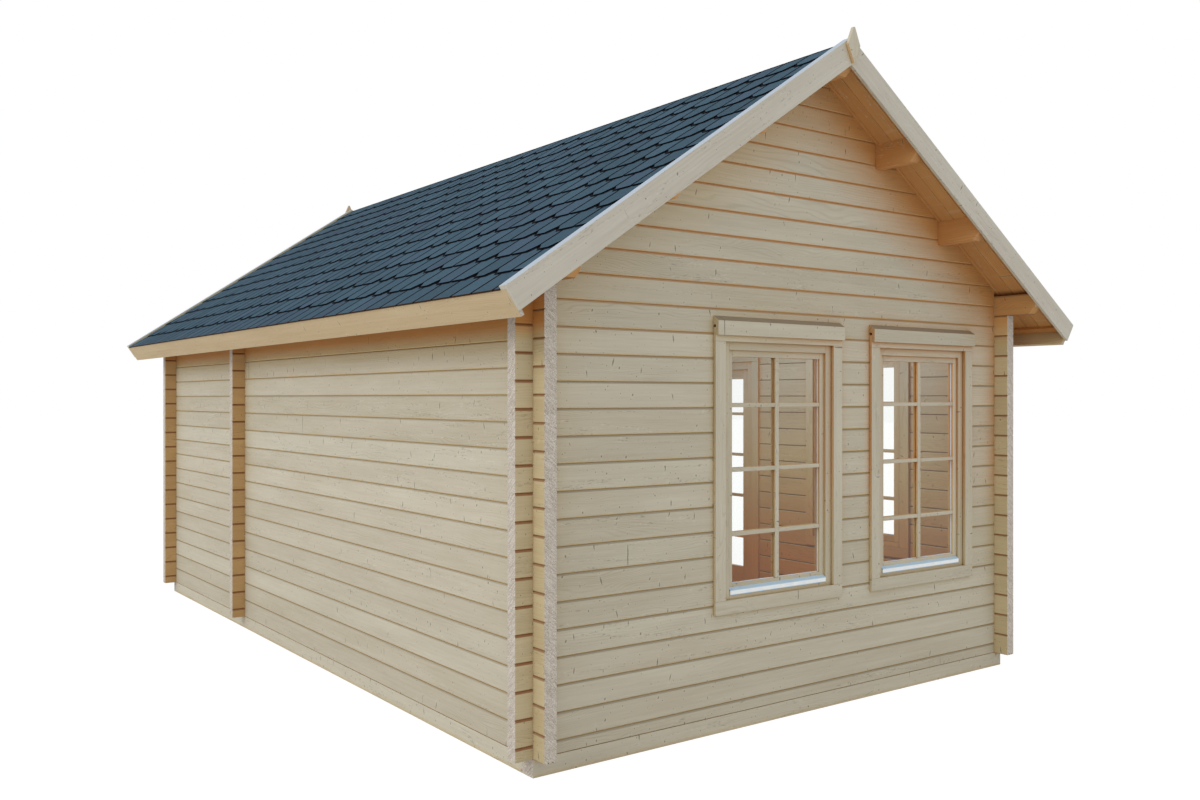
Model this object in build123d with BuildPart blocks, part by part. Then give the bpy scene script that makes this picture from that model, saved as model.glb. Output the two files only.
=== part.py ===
"""A small log cabin with a steep shingled roof, built from interlocking planed logs.

X runs across the gables, Y along the ridge, Z up from the ground.
The origin is the middle of the plan at ground level.
The gable with two windows faces -Y, and the long wall with the door faces +X.
"""
from build123d import *
from math import cos, radians, sin, tan
import os

os.makedirs("parts", exist_ok=True)

# Plan, measured over the outer faces of the log walls
cabin_width = 3800
cabin_length = 6300
front_room_depth = 4172

# Logs
log_thick = 70
log_course = 135
log_joint = 0.3
log_chamfer = 5
log_overhang = 100
notch_play = 0.3
groove_width = 9
groove_depth = 8
groove_spacing = 25
wall_courses = 17

# Base and floor
base_height = 90
base_width = 100
joist_thick = 44
joist_spacing = 500
floor_thick = 19
floor_play = 8

# Roof
roof_pitch = 34.1
top_log_outer = 124
eaves_overhang = 350
gable_overhang = 310
seat_gap = 0.3
roof_board = 20
shingle_thick = 6
shingle_lap = 10
edge_batten_width = 45
edge_batten_thick = 22
barge_depth = 130
barge_thick = 20
finial_width = 100
finial_height = 200
finial_thick = 20
finial_tip = 12
finial_drop = 98
fascia_height = 140
fascia_thick = 20
fascia_batten_width = 40
fascia_batten_thick = 20
purlin_thick = 70
purlin_height = 150
purlin_spacing = 615
purlins_a_side = 2
purlin_end_play = 3
purlin_end_cut = 50

# Windows
window_to_corner = 274
window_spacing = 1280.5
side_window_from_front = 1208
pane_width = 702
pane_height = 1256
pane_sill = 711
sash_show = 36
sash_lap = 10
sash_play = 2
sash_depth = 40
frame_show = 45
frame_hidden = 20
frame_play = 5
frame_recess = 3
frame_lip = 15
glass_thick = 4
glass_rebate = 8
glass_play = 0.3
casing_width = 75
casing_thick = 20
board_joint = 0.3
head_depth = 42
head_front = 78
head_slope = 28
head_lap = 42
head_rebate = 14
rail_proud = 4
rail_sheet = 2
rail_back_rise = 17
rail_front_rise = 4
rail_drop = 23
rail_end_play = 4

# Door
door_edge_from_front = 2337
door_glass_width = 702
door_glass_height = 1631
door_glass_sill = 272
stile_show = 95
leaf_gap = 7
leaf_thick = 45
sill_height = 40
stop_lap = 20
hinge_radius = 8
hinge_proud = 9
hinge_pin_radius = 5
hinge_pin_play = 0.08
hinge_barrel = 45
hinge_barrel_gap = 1
hinge_plate_thick = 3
hinge_plate_width = 30
hinge_heights = (250, 1650)
handle_height = 960
handle_plate_width = 40
handle_plate_height = 220
handle_plate_thick = 6
handle_lever_length = 130
handle_lever_height = 20
handle_lever_thick = 9
handle_neck_radius = 8
handle_reach = 40

# Inner doorway
doorway_width = 800
doorway_height = 1960
lining_thick = 20
lining_play = 5

# Places worked out from the sizes above
pitch = radians(roof_pitch)
half_width = cabin_width / 2
half_length = cabin_length / 2
inner_x = half_width - log_thick
inner_y = half_length - log_thick
partition_y = -inner_y + front_room_depth + log_thick / 2
end_wall_y = half_length - log_thick / 2
crossing_x = half_width - log_thick / 2
ridge_to_eaves = half_width + eaves_overhang
top_log_z = base_height + wall_courses * log_course
ridge_under = top_log_z + top_log_outer + half_width * tan(pitch)
roof_end = half_length + gable_overhang
edge_rise = roof_board + edge_batten_thick
purlin_reach = roof_end - purlin_end_play
half_joint = log_joint / 2
notch_width = log_thick + 2 * notch_play
beyond = 2 * (cabin_width + cabin_length)


def save(name, piece):
    """Labels a finished piece and writes its file."""
    piece.part.label = name
    export_step(piece.part, f"parts/{name}.step")


def level(course):
    """Height of the joint below a course of the long walls."""
    return base_height + course * log_course


def under_roof(x, gap=0.0):
    """Height over x of a line a given gap below the roof boards' underside."""
    return ridge_under - abs(x) * tan(pitch) - gap / cos(pitch)


def slope_point(side, s, n):
    """Point of the gable plane that lies s down the slope and n above the boards' underside."""
    x = s * cos(pitch) + n * sin(pitch)
    return (side * x, ridge_under - s * sin(pitch) + n * cos(pitch))


def slope_reach(x, n):
    """Distance down the slope at which the level n stands over x."""
    return (x - n * sin(pitch)) / cos(pitch)


eaves_s = slope_reach(ridge_to_eaves, edge_rise)
board_end_s = eaves_s - fascia_thick


def roof_layer(side, low, high, end):
    """Outline of a roof layer between two levels, cut upright at the ridge."""
    return (
        slope_point(side, slope_reach(half_joint, low), low),
        slope_point(side, end, low),
        slope_point(side, end, high),
        slope_point(side, slope_reach(half_joint, high), high),
    )


def gable_plane(y):
    """Upright plane across the cabin at y, seen from the front."""
    return Plane(origin=(0, y, 0), x_dir=(1, 0, 0), z_dir=(0, -1, 0))


def prism(plane, points, amount, mode=Mode.ADD):
    """Extrudes a closed outline drawn on a plane."""
    with BuildSketch(plane) as outline:
        with BuildLine():
            Polyline(*points, close=True)
        make_face()
    extrude(outline.sketch, amount=amount, mode=mode)


def block(x, y, z, mode=Mode.ADD):
    """Box between two corners, given as (low, high) for each axis."""
    with Locations([((x[0] + x[1]) / 2, (y[0] + y[1]) / 2, (z[0] + z[1]) / 2)]):
        Box(x[1] - x[0], y[1] - y[0], z[1] - z[0], mode=mode)


# Openings in the walls, each as its middle and the half widths round it
pane_half = pane_width / 2
lip_half = pane_half + sash_show
casing_half = lip_half + frame_show
frame_half = casing_half + frame_hidden
hole_half = frame_half + frame_play
pane_low = base_height + pane_sill
pane_high = pane_low + pane_height
around_pane = {"lip": sash_show, "casing": sash_show + frame_show}
around_pane["frame"] = around_pane["casing"] + frame_hidden
around_pane["hole"] = around_pane["frame"] + frame_play
around_pane["casing_outer"] = around_pane["casing"] + casing_width
casing_top = pane_high + around_pane["casing_outer"]

door_leaf_half = door_glass_width / 2 + stile_show
door_in_half = door_leaf_half + leaf_gap
door_casing_half = door_in_half + frame_show
door_frame_half = door_casing_half + frame_hidden
door_hole_half = door_frame_half + frame_play
door_y = -half_length + door_edge_from_front + door_casing_half
door_glass_low = base_height + door_glass_sill
door_glass_high = door_glass_low + door_glass_height
leaf_low = base_height + sill_height + leaf_gap
leaf_high = door_glass_high + stile_show
door_in_high = leaf_high + leaf_gap
door_casing_high = door_in_high + frame_show
door_frame_high = door_casing_high + frame_hidden
door_hole_high = door_frame_high + frame_play
door_casing_top = door_casing_high + casing_width

lining_half = doorway_width / 2 + lining_thick
doorway_top = base_height + doorway_height
floor_top = base_height + floor_thick

right_window_x = inner_x - window_to_corner - pane_half - around_pane["casing_outer"]
front_window_x = (right_window_x - window_spacing, right_window_x)
side_window_y = -half_length + side_window_from_front

# Upright planes on the outer wall faces, each with its x along the wall and its normal outwards
front_planes = [
    Plane(origin=(x, -half_length, 0), x_dir=(1, 0, 0), z_dir=(0, -1, 0)) for x in front_window_x
]
side_window_plane = Plane(origin=(half_width, side_window_y, 0), x_dir=(0, 1, 0), z_dir=(1, 0, 0))
door_plane = Plane(origin=(half_width, door_y, 0), x_dir=(0, 1, 0), z_dir=(1, 0, 0))
window_planes = front_planes + [side_window_plane]


# Base beams: the cross beams run the full width and the long ones butt against them
def cross_base_beam(name, y_low, x_half):
    """A base beam across the cabin."""
    with BuildPart() as beam:
        block((-x_half, x_half), (y_low, y_low + base_width), (0, base_height))
    save(name, beam)


cross_base_beam("front_base_beam", -half_length, half_width)
cross_base_beam("back_base_beam", half_length - base_width, half_width)
cross_base_beam("partition_base_beam", partition_y - base_width / 2, half_width - base_width)

with BuildPart() as side_base_beams:
    for side in (-1, 1):
        with Locations((side * (half_width - base_width / 2), 0, base_height / 2)):
            Box(base_width, cabin_length - 2 * base_width, base_height)
save("side_base_beams", side_base_beams)

# Floor joists on the ground between the beams, and the floors laid on them and on the beams
rooms = {
    "front_room": (-inner_y, partition_y - log_thick / 2),
    "back_room": (partition_y + log_thick / 2, inner_y),
}
with BuildPart() as floor_joists:
    for y_low, y_high in rooms.values():
        span = y_high - y_low
        joist_count = int(span / joist_spacing)
        with Locations((0, (y_low + y_high) / 2, base_height / 2)):
            with GridLocations(1, span / (joist_count + 1), 1, joist_count):
                Box(cabin_width - 2 * base_width - log_joint, joist_thick, base_height)
save("floor_joists", floor_joists)

for room, (y_low, y_high) in rooms.items():
    with BuildPart() as room_floor:
        block(
            (-inner_x + floor_play, inner_x - floor_play),
            (y_low + floor_play, y_high - floor_play),
            (base_height, floor_top),
        )
    save(f"{room}_floor", room_floor)


# Log walls
def stack_logs(plane, rows, length):
    """Extrudes one chamfered log for each (low, high) row, separated by fine joints."""
    with BuildSketch(plane) as sections:
        for low, high in rows:
            with Locations((0, (low + high) / 2)):
                Rectangle(log_thick, high - low - log_joint)
        chamfer(sections.vertices(), length=log_chamfer)
    extrude(sections.sketch, amount=length)


def cross_logs(y):
    """Logs of a wall across the cabin: a half log first, then full ones up to the peak."""
    first = level(0) + log_course / 2
    rows = [(level(0), first)]
    while first < ridge_under:
        rows.append((first, first + log_course))
        first += log_course
    reach = half_width + log_overhang
    plane = Plane(origin=(-reach, y, 0), x_dir=(0, 1, 0), z_dir=(1, 0, 0))
    stack_logs(plane, rows, 2 * reach)


def notches(places, x_length, y_length):
    """Slots from the joint under a log up to half its height, where the log below crosses it."""
    bottom_centre = (Align.CENTER, Align.CENTER, Align.MIN)
    height = log_course / 2 - half_joint + notch_play
    with Locations(*places):
        Box(x_length, y_length, height, align=bottom_centre, mode=Mode.SUBTRACT)


def notch_for_long_logs(y):
    """Slots at both corners of a cross wall, each over a log of the long walls."""
    joints = [level(course) + log_course / 2 for course in range(wall_courses)]
    places = [(x, y, z) for x in (-crossing_x, crossing_x) for z in joints]
    notches(places, notch_width, 2 * log_thick)


def trim_to_roof(y):
    """Cuts a cross wall to the roof, with seats for the top logs and the purlins."""
    slots = [(0, purlin_thick / 2 + notch_play, ridge_under - purlin_height - notch_play)]
    for x in purlin_faces():
        low = under_roof(x) - purlin_height - notch_play
        slots.append((x - notch_play, x + purlin_thick + notch_play, low))
    shoulder = level(wall_courses) + log_course / 2
    eaves_x = (under_roof(0, seat_gap) - shoulder) / tan(pitch)
    slots.append((inner_x - notch_play, eaves_x, shoulder))
    half_outline = []
    for start, end, low in slots:
        half_outline += [
            (start, under_roof(start, seat_gap)),
            (start, low),
            (end, low),
            (end, under_roof(end, seat_gap)),
        ]
    right = half_outline[2:-1] + [(beyond, under_roof(beyond, seat_gap)), (beyond, beyond)]
    left = [(-x, z) for x, z in reversed(right)]
    prism(gable_plane(y + log_thick), right + left, 2 * log_thick, mode=Mode.SUBTRACT)


def purlin_faces():
    """Distance from the ridge line to the uphill face of each side purlin."""
    return [inner_x - purlin_spacing * k for k in range(purlins_a_side, 0, -1)]


def long_logs(x):
    """Logs of a long wall, notched over the three cross walls."""
    reach = half_length + log_overhang
    rows = [(level(course), level(course + 1)) for course in range(wall_courses)]
    plane = Plane(origin=(x, -reach, 0), x_dir=(-1, 0, 0), z_dir=(0, 1, 0))
    stack_logs(plane, rows, 2 * reach)
    notch_for_cross_logs(x, range(wall_courses))
    groove_lowest_log(x)


def notch_for_cross_logs(x, courses):
    """Slots in a long wall, each over a log of the end walls or the partition."""
    crossings = (-end_wall_y, partition_y, end_wall_y)
    places = [(x, y, level(course)) for y in crossings for course in courses]
    notches(places, 2 * log_thick, notch_width)


def groove_lowest_log(x):
    """Twin grooves along the underside of the lowest log of a long wall."""
    reach = half_length + log_overhang
    with Locations(*[(x + side * groove_spacing / 2, 0, level(0)) for side in (-1, 1)]):
        Box(groove_width, 2 * reach, 2 * groove_depth, mode=Mode.SUBTRACT)


with BuildPart() as front_wall:
    cross_logs(-end_wall_y)
    notch_for_long_logs(-end_wall_y)
    trim_to_roof(-end_wall_y)
    for x in front_window_x:
        block(
            (x - hole_half, x + hole_half),
            (-half_length - log_thick, -inner_y + log_thick),
            (pane_low - around_pane["hole"], pane_high + around_pane["hole"]),
            mode=Mode.SUBTRACT,
        )
save("front_wall_logs", front_wall)

with BuildPart() as back_wall:
    cross_logs(end_wall_y)
    notch_for_long_logs(end_wall_y)
    trim_to_roof(end_wall_y)
save("back_wall_logs", back_wall)

with BuildPart() as partition:
    cross_logs(partition_y)
    notch_for_long_logs(partition_y)
    trim_to_roof(partition_y)
    block(
        (-lining_half - lining_play, lining_half + lining_play),
        (partition_y - log_thick, partition_y + log_thick),
        (base_height, doorway_top + lining_thick + lining_play),
        mode=Mode.SUBTRACT,
    )
save("partition_logs", partition)

with BuildPart() as left_wall:
    long_logs(-crossing_x)
save("left_wall_logs", left_wall)

with BuildPart() as right_wall:
    long_logs(crossing_x)
    block(
        (inner_x - log_thick, half_width + log_thick),
        (side_window_y - hole_half, side_window_y + hole_half),
        (pane_low - around_pane["hole"], pane_high + around_pane["hole"]),
        mode=Mode.SUBTRACT,
    )
    block(
        (inner_x - log_thick, half_width + log_thick),
        (door_y - door_hole_half, door_y + door_hole_half),
        (base_height, door_hole_high),
        mode=Mode.SUBTRACT,
    )
save("right_wall_logs", right_wall)


# Roof timbers: top logs of the long walls, purlins and ridge purlin, all with cut lower ends
def cut_lower_ends(x_low, x_high, bottom):
    """Slants both lower ends of a timber that runs out under the gable overhangs."""
    for end in (-1, 1):
        corner = (
            (end * (purlin_reach - purlin_end_cut), bottom),
            (end * (purlin_reach + 1), bottom - 1),
            (end * (purlin_reach + 1), bottom + purlin_end_cut),
        )
        plane = Plane(origin=(x_low, 0, 0), x_dir=(0, 1, 0), z_dir=(1, 0, 0))
        prism(plane, corner, x_high - x_low, mode=Mode.SUBTRACT)


def timber(points, bottom):
    """A roof timber of the given section, running the length of the roof."""
    prism(gable_plane(purlin_reach), points, 2 * purlin_reach)
    xs = [point[0] for point in points]
    cut_lower_ends(min(xs) - 1, max(xs) + 1, bottom)


with BuildPart() as top_logs:
    for side in (-1, 1):
        bottom = level(wall_courses) + half_joint
        top = level(wall_courses + 1)
        bevel_x = half_width - (top - under_roof(half_width, seat_gap)) / tan(pitch)
        section = (
            (side * inner_x, bottom + log_chamfer),
            (side * (inner_x + log_chamfer), bottom),
            (side * (half_width - log_chamfer), bottom),
            (side * half_width, bottom + log_chamfer),
            (side * half_width, under_roof(half_width, seat_gap)),
            (side * bevel_x, top),
            (side * inner_x, top),
        )
        timber(section, bottom)
        notch_for_cross_logs(side * crossing_x, [wall_courses])
save("top_logs", top_logs)

with BuildPart() as side_purlins:
    for side in (-1, 1):
        for x in purlin_faces():
            bottom = under_roof(x) - purlin_height
            section = (
                (side * x, bottom),
                (side * (x + purlin_thick), bottom),
                (side * (x + purlin_thick), under_roof(x + purlin_thick, seat_gap)),
                (side * x, under_roof(x, seat_gap)),
            )
            timber(section, bottom)
save("side_purlins", side_purlins)

with BuildPart() as ridge_purlin:
    half = purlin_thick / 2
    bottom = ridge_under - purlin_height
    section = (
        (-half, bottom),
        (half, bottom),
        (half, under_roof(half, seat_gap)),
        (0, under_roof(0, seat_gap)),
        (-half, under_roof(half, seat_gap)),
    )
    timber(section, bottom)
save("ridge_purlin", ridge_purlin)


# Roof covering and its edge boards
def along_roof(points, y_low, y_high):
    """Extrudes an outline of the gable plane between two places along the ridge."""
    prism(gable_plane(y_high), points, y_high - y_low)


for name, side in (("left", -1), ("right", 1)):
    with BuildPart() as roof_boards:
        along_roof(roof_layer(side, 0, roof_board, board_end_s), -roof_end, roof_end)
    save(f"{name}_roof_boards", roof_boards)

    with BuildPart() as shingles:
        shingle_top = roof_board + shingle_thick
        shingle_end = roof_end - edge_batten_width
        outline = roof_layer(side, roof_board, shingle_top, eaves_s + shingle_lap)
        along_roof(outline, -shingle_end, shingle_end)
    save(f"{name}_shingles", shingles)

with BuildPart() as edge_battens:
    for side in (-1, 1):
        outline = roof_layer(side, roof_board, edge_rise, eaves_s)
        along_roof(outline, -roof_end, -roof_end + edge_batten_width)
        along_roof(outline, roof_end - edge_batten_width, roof_end)
save("edge_battens", edge_battens)

with BuildPart() as fascia_boards:
    for side in (-1, 1):
        low = roof_board - fascia_height
        outline = (
            slope_point(side, board_end_s, low),
            slope_point(side, eaves_s, low),
            slope_point(side, eaves_s, roof_board),
            slope_point(side, board_end_s, roof_board),
        )
        along_roof(outline, -roof_end, roof_end)
save("fascia_boards", fascia_boards)

with BuildPart() as fascia_battens:
    for side in (-1, 1):
        outline = (
            slope_point(side, board_end_s - fascia_batten_width, -fascia_batten_thick),
            slope_point(side, board_end_s, -fascia_batten_thick),
            slope_point(side, board_end_s, 0),
            slope_point(side, board_end_s - fascia_batten_width, 0),
        )
        along_roof(outline, -roof_end, roof_end)
save("fascia_battens", fascia_battens)

barge_face = roof_end + barge_thick
for name, y_low in (("front", -barge_face), ("back", roof_end)):
    with BuildPart() as barge_boards:
        for side in (-1, 1):
            outline = roof_layer(side, edge_rise - barge_depth, edge_rise, eaves_s)
            along_roof(outline, y_low, y_low + barge_thick)
    save(f"{name}_barge_boards", barge_boards)

with BuildPart() as finials:
    low = ridge_under - finial_drop
    outline = (
        (0, low),
        (finial_width / 2, low + finial_height / 2),
        (finial_tip / 2, low + finial_height),
        (-finial_tip / 2, low + finial_height),
        (-finial_width / 2, low + finial_height / 2),
    )
    along_roof(outline, -barge_face - finial_thick, -barge_face)
    along_roof(outline, barge_face, barge_face + finial_thick)
save("finials", finials)


# Windows, all three alike
def stiles_and_rails(half, low, high, width, bottom, shoulder):
    """Joinery on the running sketch: stiles at full height, and rails between them.

    The rails end at a shoulder line, measured in from the outer edge, out to which the stiles widen there.
    """
    with Locations(*[(u * (half - width / 2), (low + high) / 2) for u in (-1, 1)]):
        Rectangle(width, high - low)
    for rail_height, z in ((width, high - width / 2), (bottom, low + bottom / 2)):
        if rail_height:
            with Locations(*[(u * (half - shoulder / 2), z) for u in (-1, 1)]):
                Rectangle(shoulder, rail_height)
            with Locations((0, z)):
                Rectangle(2 * (half - shoulder - board_joint), rail_height)


def casing_boards(plane, half, low, high, amount, foot=False):
    """Four boards round a window, the side boards between the top and bottom ones, or a door's three."""
    with BuildSketch(plane) as boards:
        outer = half + casing_width
        with Locations((0, high + casing_width / 2)):
            Rectangle(2 * outer, casing_width)
        with Locations(*[(u * (half + casing_width / 2), (low + high) / 2) for u in (-1, 1)]):
            Rectangle(casing_width, high - low - 2 * board_joint)
        if not foot:
            with Locations((0, low - casing_width / 2)):
                Rectangle(2 * outer, casing_width)
    extrude(boards.sketch, amount=amount)


def along_wall(plane, u):
    """Plane square to a wall at u, its x outwards, for a section that runs along the wall."""
    return Plane(origin=plane.from_local_coords((u, 0, 0)), x_dir=plane.z_dir, z_dir=-plane.x_dir)


def head_board(plane, half, top):
    """Drip board over a casing, rebated over its top edge."""
    front_top = top - head_lap + head_front
    section = (
        (0, top + head_rebate),
        (casing_thick, top + head_rebate),
        (casing_thick, top - head_lap),
        (head_depth, top - head_lap),
        (head_depth, front_top),
        (0, front_top + head_slope),
    )
    prism(along_wall(plane, half), section, 2 * half)


frame_face = -frame_recess
lip_back = frame_face - frame_lip
frame_back = seat_gap - log_thick
frame_depth = frame_face - frame_back
sash_front = lip_back - seat_gap
sash_back = sash_front - sash_depth
glass_mid = sash_front - sash_depth / 2
window_frame_low = pane_low - around_pane["frame"]
window_frame_high = pane_high + around_pane["frame"]
lip_width = frame_show + frame_hidden
back_width = lip_width - sash_lap - sash_play
sash_width = sash_show + sash_lap
sash_half = lip_half + sash_lap
sash_low = pane_low - sash_show - sash_lap
sash_high = pane_high + sash_show + sash_lap
window_casing_half = pane_half + around_pane["casing"]
window_casing_low = pane_low - around_pane["casing"]
window_casing_high = pane_high + around_pane["casing"]

with BuildPart() as window_outer_casings:
    for plane in window_planes:
        casing_boards(plane, window_casing_half, window_casing_low, window_casing_high, casing_thick)
save("window_outer_casings", window_outer_casings)

with BuildPart() as window_inner_casings:
    for plane in window_planes:
        inside = plane.offset(-log_thick)
        casing_boards(inside, window_casing_half, window_casing_low, window_casing_high, -casing_thick)
save("window_inner_casings", window_inner_casings)

with BuildPart() as window_head_boards:
    for plane in window_planes:
        head_board(plane, pane_half + around_pane["casing_outer"], casing_top)
save("window_head_boards", window_head_boards)

with BuildPart() as window_frames:
    for plane in window_planes:
        for start, depth, width in (
            (lip_back, frame_lip, lip_width),
            (frame_back, frame_depth - frame_lip, back_width),
        ):
            with BuildSketch(plane.offset(start)):
                stiles_and_rails(
                    frame_half, window_frame_low, window_frame_high, width, width, lip_width
                )
            extrude(amount=depth)
save("window_frames", window_frames)

with BuildPart() as window_sashes:
    for plane in window_planes:
        with BuildSketch(plane.offset(sash_back)):
            stiles_and_rails(sash_half, sash_low, sash_high, sash_width, sash_width, sash_width)
        extrude(amount=sash_depth)
        with BuildSketch(plane.offset(glass_mid)):
            with Locations((0, (pane_low + pane_high) / 2)):
                groove_grow = 2 * (glass_rebate + glass_play)
                Rectangle(pane_width + groove_grow, pane_height + groove_grow)
        extrude(amount=glass_thick / 2 + glass_play, both=True, mode=Mode.SUBTRACT)
save("window_sashes", window_sashes)

with BuildPart() as window_glass:
    for plane in window_planes:
        with BuildSketch(plane.offset(glass_mid)):
            with Locations((0, (pane_low + pane_high) / 2)):
                Rectangle(pane_width + 2 * glass_rebate, pane_height + 2 * glass_rebate)
        extrude(amount=glass_thick / 2, both=True)
save("window_glass", window_glass)

with BuildPart() as window_rain_rails:
    lip_edge = pane_low - around_pane["lip"]
    rail_front = frame_face + rail_proud
    rail_section = (
        (sash_front, lip_edge + rail_back_rise),
        (rail_front, lip_edge + rail_front_rise),
        (rail_front, lip_edge - rail_drop),
        (rail_front - rail_sheet, lip_edge - rail_drop),
        (rail_front - rail_sheet, lip_edge + rail_front_rise - rail_sheet),
        (sash_front, lip_edge + rail_back_rise - rail_sheet),
    )
    for plane in window_planes:
        rail_half = lip_half - rail_end_play
        prism(along_wall(plane, rail_half), rail_section, 2 * rail_half)
save("window_rain_rails", window_rain_rails)

# Door: casings, frame with its stop, and sill
with BuildPart() as door_outer_casing:
    casing_boards(door_plane, door_casing_half, base_height, door_casing_high, casing_thick, foot=True)
save("door_outer_casing", door_outer_casing)

with BuildPart() as door_inner_casing:
    inside = door_plane.offset(-log_thick)
    casing_boards(inside, door_casing_half, floor_top, door_casing_high, -casing_thick, foot=True)
save("door_inner_casing", door_inner_casing)

with BuildPart() as door_head_board:
    head_board(door_plane, door_casing_half + casing_width, door_casing_top)
save("door_head_board", door_head_board)

sill_top = base_height + sill_height
stop_face = frame_face - leaf_thick - leaf_gap
with BuildPart() as door_frame:
    stop_width = lip_width + stop_lap
    for depth, width in ((frame_depth, lip_width), (stop_face - frame_back, stop_width)):
        with BuildSketch(door_plane.offset(frame_back)):
            stiles_and_rails(
                door_frame_half, sill_top + board_joint, door_frame_high, width, 0, stop_width
            )
        extrude(amount=depth)
save("door_frame", door_frame)

with BuildPart() as door_sill:
    with BuildSketch(door_plane.offset(frame_back)):
        with Locations((0, base_height + sill_height / 2)):
            Rectangle(2 * door_frame_half, sill_height)
    extrude(amount=frame_depth)
save("door_sill", door_sill)

# Door leaf with its glass
leaf_face = frame_face
leaf_mid = leaf_face - leaf_thick / 2
with BuildPart() as door_leaf:
    with BuildSketch(door_plane.offset(leaf_face - leaf_thick)):
        bottom_rail = door_glass_low - leaf_low
        stiles_and_rails(door_leaf_half, leaf_low, leaf_high, stile_show, bottom_rail, stile_show)
    extrude(amount=leaf_thick)
    with BuildSketch(door_plane.offset(leaf_mid)):
        with Locations((0, (door_glass_low + door_glass_high) / 2)):
            groove_grow = 2 * (glass_rebate + glass_play)
            Rectangle(door_glass_width + groove_grow, door_glass_height + groove_grow)
    extrude(amount=glass_thick / 2 + glass_play, both=True, mode=Mode.SUBTRACT)
save("door_leaf", door_leaf)

with BuildPart() as door_glass:
    with BuildSketch(door_plane.offset(leaf_mid)):
        with Locations((0, (door_glass_low + door_glass_high) / 2)):
            Rectangle(door_glass_width + 2 * glass_rebate, door_glass_height + 2 * glass_rebate)
    extrude(amount=glass_thick / 2, both=True)
save("door_glass", door_glass)

# Lift-off hinges: pins on the frame, barrels on the leaf
hinge_x = half_width + frame_face + hinge_proud
hinge_y = door_y - door_leaf_half - leaf_gap / 2


def hinge_plate(y_side, z_low):
    """Flat plate from the hinge line over the frame or the leaf."""
    ys = sorted((hinge_y, hinge_y + y_side * hinge_plate_width))
    face = half_width + frame_face
    block((face, face + hinge_plate_thick), ys, (z_low, z_low + hinge_barrel))


with BuildPart() as hinge_pins:
    for height in hinge_heights:
        z_low = base_height + height
        with BuildSketch(Plane.XY.offset(z_low)):
            with Locations((hinge_x, hinge_y)):
                Circle(hinge_radius)
        extrude(amount=hinge_barrel)
        with BuildSketch(Plane.XY.offset(z_low)):
            with Locations((hinge_x, hinge_y)):
                Circle(hinge_pin_radius)
        extrude(amount=2 * hinge_barrel - 2 * hinge_plate_thick)
        hinge_plate(-1, z_low)
save("door_hinge_pins", hinge_pins)

with BuildPart() as hinge_barrels:
    for height in hinge_heights:
        z_low = base_height + height + hinge_barrel + hinge_barrel_gap
        with BuildSketch(Plane.XY.offset(z_low)):
            with Locations((hinge_x, hinge_y)):
                Circle(hinge_radius)
        extrude(amount=hinge_barrel)
        hinge_plate(1, z_low)
        with BuildSketch(Plane.XY.offset(z_low)):
            with Locations((hinge_x, hinge_y)):
                Circle(hinge_pin_radius + hinge_pin_play)
        extrude(amount=hinge_barrel - hinge_plate_thick, mode=Mode.SUBTRACT)
save("door_hinge_barrels", hinge_barrels)

# Lever handles on both faces of the lock stile
handle_u = door_leaf_half - stile_show / 2
handle_z = base_height + handle_height
with BuildPart() as door_handles:
    for face, out in ((leaf_face, 1), (leaf_face - leaf_thick, -1)):
        with BuildSketch(door_plane.offset(face)):
            with Locations((handle_u, handle_z)):
                Rectangle(handle_plate_width, handle_plate_height)
        extrude(amount=out * handle_plate_thick)
        with BuildSketch(door_plane.offset(face)):
            with Locations((handle_u, handle_z)):
                Circle(handle_neck_radius)
        extrude(amount=out * handle_reach)
        with BuildSketch(door_plane.offset(face + out * handle_reach)) as lever:
            with Locations((handle_u - handle_lever_length / 2 + handle_lever_height / 2, handle_z)):
                Rectangle(handle_lever_length, handle_lever_height)
            chamfer(lever.vertices(), length=handle_lever_height / 4)
        extrude(amount=out * handle_lever_thick)
save("door_handles", door_handles)

# Lining and casings of the inner doorway
partition_face = Plane(
    origin=(0, partition_y - log_thick / 2, 0), x_dir=(1, 0, 0), z_dir=(0, -1, 0)
)
with BuildPart() as doorway_lining:
    with BuildSketch(partition_face):
        with Locations((0, doorway_top + lining_thick / 2)):
            Rectangle(2 * lining_half, lining_thick)
        jamb_low = floor_top + board_joint
        jamb_high = doorway_top - board_joint
        jamb_u = lining_half - lining_thick / 2
        with Locations((-jamb_u, (jamb_low + jamb_high) / 2), (jamb_u, (jamb_low + jamb_high) / 2)):
            Rectangle(lining_thick, jamb_high - jamb_low)
        with Locations((0, (base_height + floor_top) / 2)):
            Rectangle(2 * lining_half, floor_thick)
    extrude(amount=-log_thick)
save("doorway_lining", doorway_lining)

with BuildPart() as doorway_casings:
    reveal = lining_half - lining_thick
    casing_boards(partition_face, reveal, floor_top, doorway_top, casing_thick, foot=True)
    far_face = partition_face.offset(-log_thick)
    casing_boards(far_face, reveal, floor_top, doorway_top, -casing_thick, foot=True)
save("doorway_casings", doorway_casings)
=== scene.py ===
"""Log cabin: procedural wood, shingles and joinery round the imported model."""
import math
import random

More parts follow.
